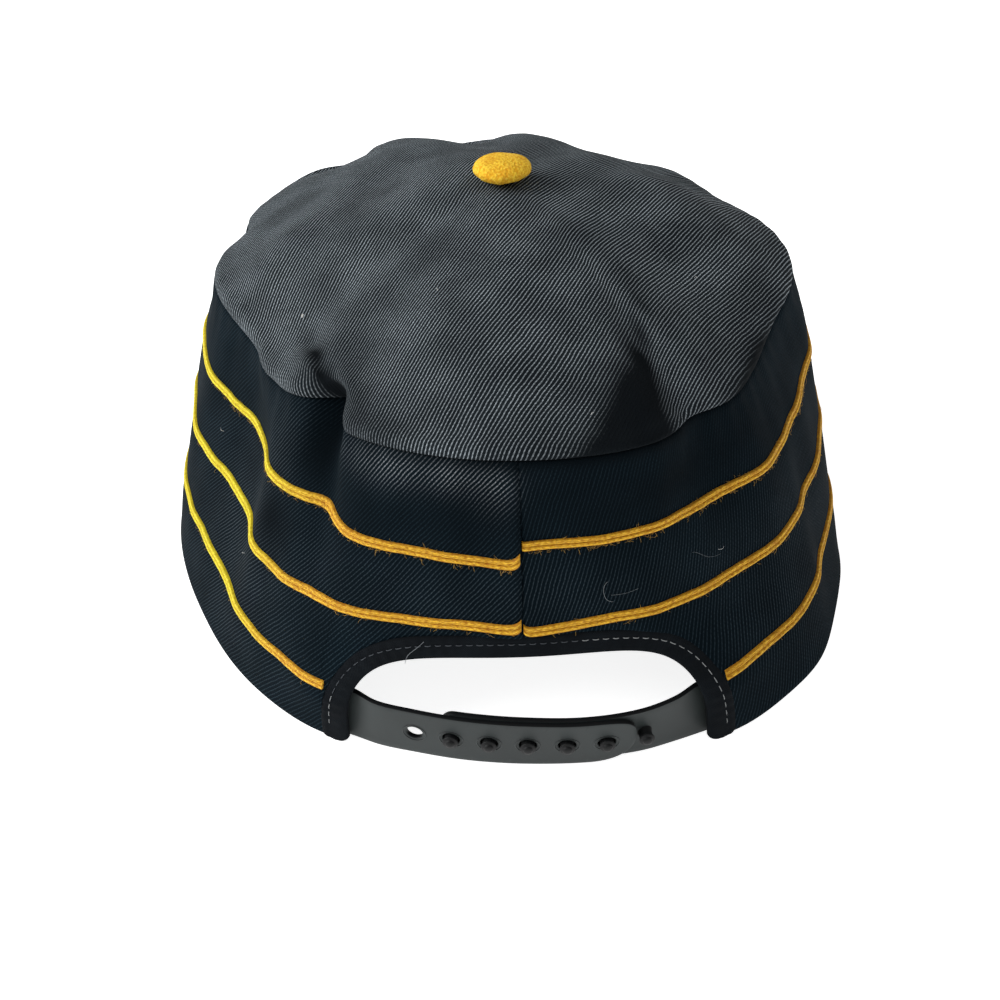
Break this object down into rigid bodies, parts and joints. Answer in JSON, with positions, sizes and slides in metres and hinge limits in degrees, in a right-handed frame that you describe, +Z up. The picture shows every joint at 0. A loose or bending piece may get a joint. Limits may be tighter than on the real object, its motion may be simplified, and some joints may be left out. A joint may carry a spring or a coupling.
{
  "type": "pillbox baseball cap",
  "caption": "Pillbox baseball cap with an upright wall trimmed in braid, a domed top with a covered button, a curved peak and a snap strap under a rear arch.",
  "frame": {"origin": "under the middle of the whole cap, on the surface that it lies on", "axes": "+Y to the back of the cap, where the strap is, -Y to the peak, +X across it towards the root of the strap tongue with holes, +Z up"},
  "size_m": [0.1838, 0.269, 0.1012],
  "materials": {
    "panel_cloth": "charcoal cotton twill",
    "wall_cloth": "black cotton twill",
    "binding_cloth": "black plain tape",
    "braid_yarn": "yellow soutache braid",
    "button_cloth": "yellow cloth",
    "strap_plastic": "satin dark grey moulded plastic",
    "peak_cloth": "black cotton twill over board"
  },
  "bodies": {
    "root": {"side_wall": "wall_cloth", "top_panel": "panel_cloth", "braid_top": "braid_yarn", "braid_middle": "braid_yarn", "braid_bottom": "braid_yarn", "arch_binding": "binding_cloth", "hole_strap": "strap_plastic", "peg_strap": "strap_plastic", "button": "button_cloth", "peak": "peak_cloth"}
  },
  "joints": []
}
